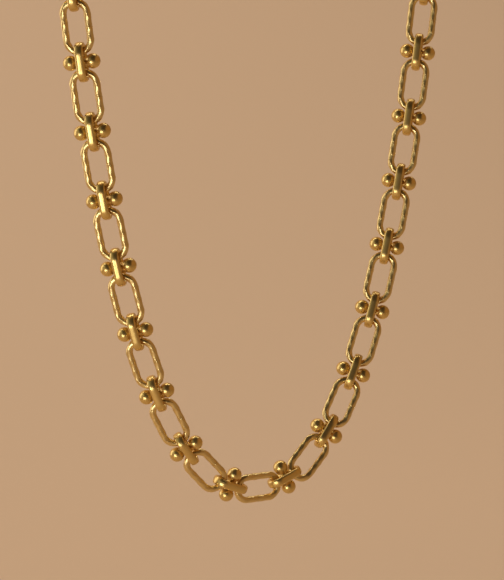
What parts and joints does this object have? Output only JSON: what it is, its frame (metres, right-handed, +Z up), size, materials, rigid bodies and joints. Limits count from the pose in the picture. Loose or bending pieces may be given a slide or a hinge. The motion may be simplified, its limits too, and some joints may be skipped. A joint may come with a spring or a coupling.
{
  "type": "chain necklace",
  "caption": "Gold-coloured necklace of long notched oval links and short polished loop connectors with a ball on each side, closed by a lobster clasp.",
  "frame": {"origin": "under the middle of the clasp's hub, where the hanging necklace rests on what holds it up", "axes": "+Z up, -Y towards the front of the loop, +X towards the end of the chain that is held in the clasp's eye"},
  "size_m": [0.1024, 0.0066, 0.1792],
  "materials": {
    "polished_gold": "gold-plated, polished",
    "notched_gold": "gold-plated, notched all along like twisted wire",
    "spring_steel": "plain wire"
  },
  "bodies": {
    "clasp": {"clasp_body": "polished_gold", "clasp_pin": "polished_gold", "clasp_spring": "spring_steel"},
    "clasp_trigger": {"clasp_trigger": "polished_gold"},
    "tail_ring": {"tail_ring": "polished_gold"},
    "link_r13": {"link_r13": "notched_gold"},
    "connector_r13": {"connector_r13": "polished_gold"},
    "link_r12": {"link_r12": "notched_gold"},
    "connector_r12": {"connector_r12": "polished_gold"},
    "link_r11": {"link_r11": "notched_gold"},
    "connector_r11": {"connector_r11": "polished_gold"},
    "link_r10": {"link_r10": "notched_gold"},
    "connector_r10": {"connector_r10": "polished_gold"},
    "link_r09": {"link_r09": "notched_gold"},
    "connector_r09": {"connector_r09": "polished_gold"},
    "link_r08": {"link_r08": "notched_gold"},
    "connector_r08": {"connector_r08": "polished_gold"},
    "link_r07": {"link_r07": "notched_gold"},
    "connector_r07": {"connector_r07": "polished_gold"},
    "link_r06": {"link_r06": "notched_gold"},
    "connector_r06": {"connector_r06": "polished_gold"},
    "link_r05": {"link_r05": "notched_gold"},
    "connector_r05": {"connector_r05": "polished_gold"},
    "link_r04": {"link_r04": "notched_gold"},
    "connector_r04": {"connector_r04": "polished_gold"},
    "link_r03": {"link_r03": "notched_gold"},
    "connector_r03": {"connector_r03": "polished_gold"},
    "link_r02": {"link_r02": "notched_gold"},
    "connector_r02": {"connector_r02": "polished_gold"},
    "link_r01": {"link_r01": "notched_gold"},
    "connector_r01": {"connector_r01": "polished_gold"},
    "end_ring": {"end_ring": "polished_gold"},
    "link_l13": {"link_l13": "notched_gold"},
    "connector_l13": {"connector_l13": "polished_gold"},
    "link_l12": {"link_l12": "notched_gold"},
    "connector_l12": {"connector_l12": "polished_gold"},
    "link_l11": {"link_l11": "notched_gold"},
    "connector_l11": {"connector_l11": "polished_gold"},
    "link_l10": {"link_l10": "notched_gold"},
    "connector_l10": {"connector_l10": "polished_gold"},
    "link_l09": {"link_l09": "notched_gold"},
    "connector_l09": {"connector_l09": "polished_gold"},
    "link_l08": {"link_l08": "notched_gold"},
    "connector_l08": {"connector_l08": "polished_gold"},
    "link_l07": {"link_l07": "notched_gold"},
    "connector_l07": {"connector_l07": "polished_gold"},
    "link_l06": {"link_l06": "notched_gold"},
    "connector_l06": {"connector_l06": "polished_gold"},
    "link_l05": {"link_l05": "notched_gold"},
    "connector_l05": {"connector_l05": "polished_gold"},
    "link_l04": {"link_l04": "notched_gold"},
    "connector_l04": {"connector_l04": "polished_gold"},
    "link_l03": {"link_l03": "notched_gold"},
    "connector_l03": {"connector_l03": "polished_gold"},
    "link_l02": {"link_l02": "notched_gold"},
    "connector_l02": {"connector_l02": "polished_gold"},
    "link_l01": {"link_l01": "notched_gold"},
    "connector_l01": {"connector_l01": "polished_gold"},
    "bottom_link": {"bottom_link": "notched_gold"}
  },
  "joints": [
    {"name": "trigger_turn", "type": "hinge", "parent": "clasp", "child": "clasp_trigger", "pos_m": [0.0001, 0, 0.0012], "axis": [0, 1, 0], "range_deg": [0, 24], "stiffness_Nm_per_rad": 0.004, "springref_deg": -11.46},
    {"name": "swing_01", "type": "hinge", "parent": "clasp", "child": "tail_ring", "pos_m": [0.0052, 0, 0.002], "axis": [1, 0, 0], "range_deg": [-12, 12]},
    {"name": "swing_02", "type": "hinge", "parent": "tail_ring", "child": "link_r13", "pos_m": [0.00916, 0, 0.0014], "axis": [-1, 0, 0], "range_deg": [-12, 12]},
    {"name": "swing_03", "type": "hinge", "parent": "link_r13", "child": "connector_r13", "pos_m": [0.01793, 0, -0.00119], "axis": [1, 0, 0], "range_deg": [-12, 12]},
    {"name": "swing_04", "type": "hinge", "parent": "connector_r13", "child": "link_r12", "pos_m": [0.02374, 0, -0.00399], "axis": [-1, 0, 0], "range_deg": [-12, 12]},
    {"name": "swing_05", "type": "hinge", "parent": "link_r12", "child": "connector_r12", "pos_m": [0.03123, 0, -0.00925], "axis": [1, 0, 0], "range_deg": [-12, 12]},
    {"name": "swing_06", "type": "hinge", "parent": "connector_r12", "child": "link_r11", "pos_m": [0.03584, 0, -0.01376], "axis": [-1, 0, 0], "range_deg": [-12, 12]},
    {"name": "swing_07", "type": "hinge", "parent": "link_r11", "child": "connector_r11", "pos_m": [0.04126, 0, -0.02113], "axis": [1, 0, 0], "range_deg": [-14, 14]},
    {"name": "swing_08", "type": "hinge", "parent": "connector_r11", "child": "link_r10", "pos_m": [0.04418, 0, -0.02688], "axis": [-1, 0, 0], "range_deg": [-14, 14]},
    {"name": "swing_09", "type": "hinge", "parent": "link_r10", "child": "connector_r10", "pos_m": [0.04696, 0, -0.0356], "axis": [1, 0, 0], "range_deg": [-14, 14]},
    {"name": "swing_10", "type": "hinge", "parent": "connector_r10", "child": "link_r09", "pos_m": [0.0479, 0, -0.04198], "axis": [-1, 0, 0], "range_deg": [-14, 14]},
    {"name": "swing_11", "type": "hinge", "parent": "link_r09", "child": "connector_r09", "pos_m": [0.04775, 0, -0.05113], "axis": [1, 0, 0], "range_deg": [-16, 16]},
    {"name": "swing_12", "type": "hinge", "parent": "connector_r09", "child": "link_r08", "pos_m": [0.04692, 0, -0.05753], "axis": [-1, 0, 0], "range_deg": [-16, 16]},
    {"name": "swing_13", "type": "hinge", "parent": "link_r08", "child": "connector_r08", "pos_m": [0.04567, 0, -0.06659], "axis": [1, 0, 0], "range_deg": [-16, 16]},
    {"name": "swing_14", "type": "hinge", "parent": "connector_r08", "child": "link_r07", "pos_m": [0.04473, 0, -0.07297], "axis": [-1, 0, 0], "range_deg": [-16, 16]},
    {"name": "swing_15", "type": "hinge", "parent": "link_r07", "child": "connector_r07", "pos_m": [0.04331, 0, -0.08201], "axis": [1, 0, 0], "range_deg": [-16, 16]},
    {"name": "swing_16", "type": "hinge", "parent": "connector_r07", "child": "link_r06", "pos_m": [0.04223, 0, -0.08837], "axis": [-1, 0, 0], "range_deg": [-16, 16]},
    {"name": "swing_17", "type": "hinge", "parent": "link_r06", "child": "connector_r06", "pos_m": [0.04057, 0, -0.09737], "axis": [1, 0, 0], "range_deg": [-16, 16]},
    {"name": "swing_18", "type": "hinge", "parent": "connector_r06", "child": "link_r05", "pos_m": [0.0393, 0, -0.10369], "axis": [-1, 0, 0], "range_deg": [-16, 16]},
    {"name": "swing_19", "type": "hinge", "parent": "link_r05", "child": "connector_r05", "pos_m": [0.03733, 0, -0.11263], "axis": [1, 0, 0], "range_deg": [-16, 16]},
    {"name": "swing_20", "type": "hinge", "parent": "connector_r05", "child": "link_r04", "pos_m": [0.03579, 0, -0.11889], "axis": [-1, 0, 0], "range_deg": [-16, 16]},
    {"name": "swing_21", "type": "hinge", "parent": "link_r04", "child": "connector_r04", "pos_m": [0.03336, 0, -0.12771], "axis": [1, 0, 0], "range_deg": [-16, 16]},
    {"name": "swing_22", "type": "hinge", "parent": "connector_r04", "child": "link_r03", "pos_m": [0.03142, 0, -0.13386], "axis": [-1, 0, 0], "range_deg": [-16, 16]},
    {"name": "swing_23", "type": "hinge", "parent": "link_r03", "child": "connector_r03", "pos_m": [0.02826, 0, -0.14245], "axis": [1, 0, 0], "range_deg": [-16, 16]},
    {"name": "swing_24", "type": "hinge", "parent": "connector_r03", "child": "link_r02", "pos_m": [0.02565, 0, -0.14835], "axis": [-1, 0, 0], "range_deg": [-16, 16]},
    {"name": "swing_25", "type": "hinge", "parent": "link_r02", "child": "connector_r02", "pos_m": [0.02123, 0, -0.15636], "axis": [1, 0, 0], "range_deg": [-16, 16]},
    {"name": "swing_26", "type": "hinge", "parent": "connector_r02", "child": "link_r01", "pos_m": [0.0174, 0, -0.16155], "axis": [-1, 0, 0], "range_deg": [-12, 12]},
    {"name": "swing_27", "type": "hinge", "parent": "link_r01", "child": "connector_r01", "pos_m": [0.01054, 0, -0.16761], "axis": [1, 0, 0], "range_deg": [-12, 12]},
    {"name": "swing_01_l", "type": "hinge", "parent": "clasp", "child": "end_ring", "pos_m": [-0.0052, 0, 0.002], "axis": [1, 0, 0], "range_deg": [-12, 12]},
    {"name": "swing_02_l", "type": "hinge", "parent": "end_ring", "child": "link_l13", "pos_m": [-0.00916, 0, 0.0014], "axis": [-1, 0, 0], "range_deg": [-12, 12]},
    {"name": "swing_03_l", "type": "hinge", "parent": "link_l13", "child": "connector_l13", "pos_m": [-0.01793, 0, -0.00119], "axis": [1, 0, 0], "range_deg": [-12, 12]},
    {"name": "swing_04_l", "type": "hinge", "parent": "connector_l13", "child": "link_l12", "pos_m": [-0.02374, 0, -0.00399], "axis": [-1, 0, 0], "range_deg": [-12, 12]},
    {"name": "swing_05_l", "type": "hinge", "parent": "link_l12", "child": "connector_l12", "pos_m": [-0.03123, 0, -0.00925], "axis": [1, 0, 0], "range_deg": [-12, 12]},
    {"name": "swing_06_l", "type": "hinge", "parent": "connector_l12", "child": "link_l11", "pos_m": [-0.03584, 0, -0.01376], "axis": [-1, 0, 0], "range_deg": [-12, 12]},
    {"name": "swing_07_l", "type": "hinge", "parent": "link_l11", "child": "connector_l11", "pos_m": [-0.04126, 0, -0.02113], "axis": [1, 0, 0], "range_deg": [-14, 14]},
    {"name": "swing_08_l", "type": "hinge", "parent": "connector_l11", "child": "link_l10", "pos_m": [-0.04418, 0, -0.02688], "axis": [-1, 0, 0], "range_deg": [-14, 14]},
    {"name": "swing_09_l", "type": "hinge", "parent": "link_l10", "child": "connector_l10", "pos_m": [-0.04696, 0, -0.0356], "axis": [1, 0, 0], "range_deg": [-14, 14]},
    {"name": "swing_10_l", "type": "hinge", "parent": "connector_l10", "child": "link_l09", "pos_m": [-0.0479, 0, -0.04198], "axis": [-1, 0, 0], "range_deg": [-14, 14]},
    {"name": "swing_11_l", "type": "hinge", "parent": "link_l09", "child": "connector_l09", "pos_m": [-0.04775, 0, -0.05113], "axis": [1, 0, 0], "range_deg": [-16, 16]},
    {"name": "swing_12_l", "type": "hinge", "parent": "connector_l09", "child": "link_l08", "pos_m": [-0.04692, 0, -0.05753], "axis": [-1, 0, 0], "range_deg": [-16, 16]},
    {"name": "swing_13_l", "type": "hinge", "parent": "link_l08", "child": "connector_l08", "pos_m": [-0.04567, 0, -0.06659], "axis": [1, 0, 0], "range_deg": [-16, 16]},
    {"name": "swing_14_l", "type": "hinge", "parent": "connector_l08", "child": "link_l07", "pos_m": [-0.04473, 0, -0.07297], "axis": [-1, 0, 0], "range_deg": [-16, 16]},
    {"name": "swing_15_l", "type": "hinge", "parent": "link_l07", "child": "connector_l07", "pos_m": [-0.04331, 0, -0.08201], "axis": [1, 0, 0], "range_deg": [-16, 16]},
    {"name": "swing_16_l", "type": "hinge", "parent": "connector_l07", "child": "link_l06", "pos_m": [-0.04223, 0, -0.08837], "axis": [-1, 0, 0], "range_deg": [-16, 16]},
    {"name": "swing_17_l", "type": "hinge", "parent": "link_l06", "child": "connector_l06", "pos_m": [-0.04057, 0, -0.09737], "axis": [1, 0, 0], "range_deg": [-16, 16]},
    {"name": "swing_18_l", "type": "hinge", "parent": "connector_l06", "child": "link_l05", "pos_m": [-0.0393, 0, -0.10369], "axis": [-1, 0, 0], "range_deg": [-16, 16]},
    {"name": "swing_19_l", "type": "hinge", "parent": "link_l05", "child": "connector_l05", "pos_m": [-0.03733, 0, -0.11263], "axis": [1, 0, 0], "range_deg": [-16, 16]},
    {"name": "swing_20_l", "type": "hinge", "parent": "connector_l05", "child": "link_l04", "pos_m": [-0.03579, 0, -0.11889], "axis": [-1, 0, 0], "range_deg": [-16, 16]},
    {"name": "swing_21_l", "type": "hinge", "parent": "link_l04", "child": "connector_l04", "pos_m": [-0.03336, 0, -0.12771], "axis": [1, 0, 0], "range_deg": [-16, 16]},
    {"name": "swing_22_l", "type": "hinge", "parent": "connector_l04", "child": "link_l03", "pos_m": [-0.03142, 0, -0.13386], "axis": [-1, 0, 0], "range_deg": [-16, 16]},
    {"name": "swing_23_l", "type": "hinge", "parent": "link_l03", "child": "connector_l03", "pos_m": [-0.02826, 0, -0.14245], "axis": [1, 0, 0], "range_deg": [-16, 16]},
    {"name": "swing_24_l", "type": "hinge", "parent": "connector_l03", "child": "link_l02", "pos_m": [-0.02565, 0, -0.14835], "axis": [-1, 0, 0], "range_deg": [-16, 16]},
    {"name": "swing_25_l", "type": "hinge", "parent": "link_l02", "child": "connector_l02", "pos_m": [-0.02123, 0, -0.15636], "axis": [1, 0, 0], "range_deg": [-16, 16]},
    {"name": "swing_26_l", "type": "hinge", "parent": "connector_l02", "child": "link_l01", "pos_m": [-0.0174, 0, -0.16155], "axis": [-1, 0, 0], "range_deg": [-12, 12]},
    {"name": "swing_27_l", "type": "hinge", "parent": "link_l01", "child": "connector_l01", "pos_m": [-0.01054, 0, -0.16761], "axis": [1, 0, 0], "range_deg": [-12, 12]},
    {"name": "swing_28", "type": "hinge", "parent": "connector_r01", "child": "bottom_link", "pos_m": [0.00451, 0, -0.16989], "axis": [-1, 0, 0], "range_deg": [-12, 12]}
  ],
  "couplings": [
    {"joint": "swing_01_l", "follows": "swing_01", "ratio": 1},
    {"joint": "swing_02_l", "follows": "swing_02", "ratio": 1},
    {"joint": "swing_03_l", "follows": "swing_03", "ratio": 1},
    {"joint": "swing_04_l", "follows": "swing_04", "ratio": 1},
    {"joint": "swing_05_l", "follows": "swing_05", "ratio": 1},
    {"joint": "swing_06_l", "follows": "swing_06", "ratio": 1},
    {"joint": "swing_07_l", "follows": "swing_07", "ratio": 1},
    {"joint": "swing_08_l", "follows": "swing_08", "ratio": 1},
    {"joint": "swing_09_l", "follows": "swing_09", "ratio": 1},
    {"joint": "swing_10_l", "follows": "swing_10", "ratio": 1},
    {"joint": "swing_11_l", "follows": "swing_11", "ratio": 1},
    {"joint": "swing_12_l", "follows": "swing_12", "ratio": 1},
    {"joint": "swing_13_l", "follows": "swing_13", "ratio": 1},
    {"joint": "swing_14_l", "follows": "swing_14", "ratio": 1},
    {"joint": "swing_15_l", "follows": "swing_15", "ratio": 1},
    {"joint": "swing_16_l", "follows": "swing_16", "ratio": 1},
    {"joint": "swing_17_l", "follows": "swing_17", "ratio": 1},
    {"joint": "swing_18_l", "follows": "swing_18", "ratio": 1},
    {"joint": "swing_19_l", "follows": "swing_19", "ratio": 1},
    {"joint": "swing_20_l", "follows": "swing_20", "ratio": 1},
    {"joint": "swing_21_l", "follows": "swing_21", "ratio": 1},
    {"joint": "swing_22_l", "follows": "swing_22", "ratio": 1},
    {"joint": "swing_23_l", "follows": "swing_23", "ratio": 1},
    {"joint": "swing_24_l", "follows": "swing_24", "ratio": 1},
    {"joint": "swing_25_l", "follows": "swing_25", "ratio": 1},
    {"joint": "swing_26_l", "follows": "swing_26", "ratio": 1},
    {"joint": "swing_27_l", "follows": "swing_27", "ratio": 1}
  ]
}
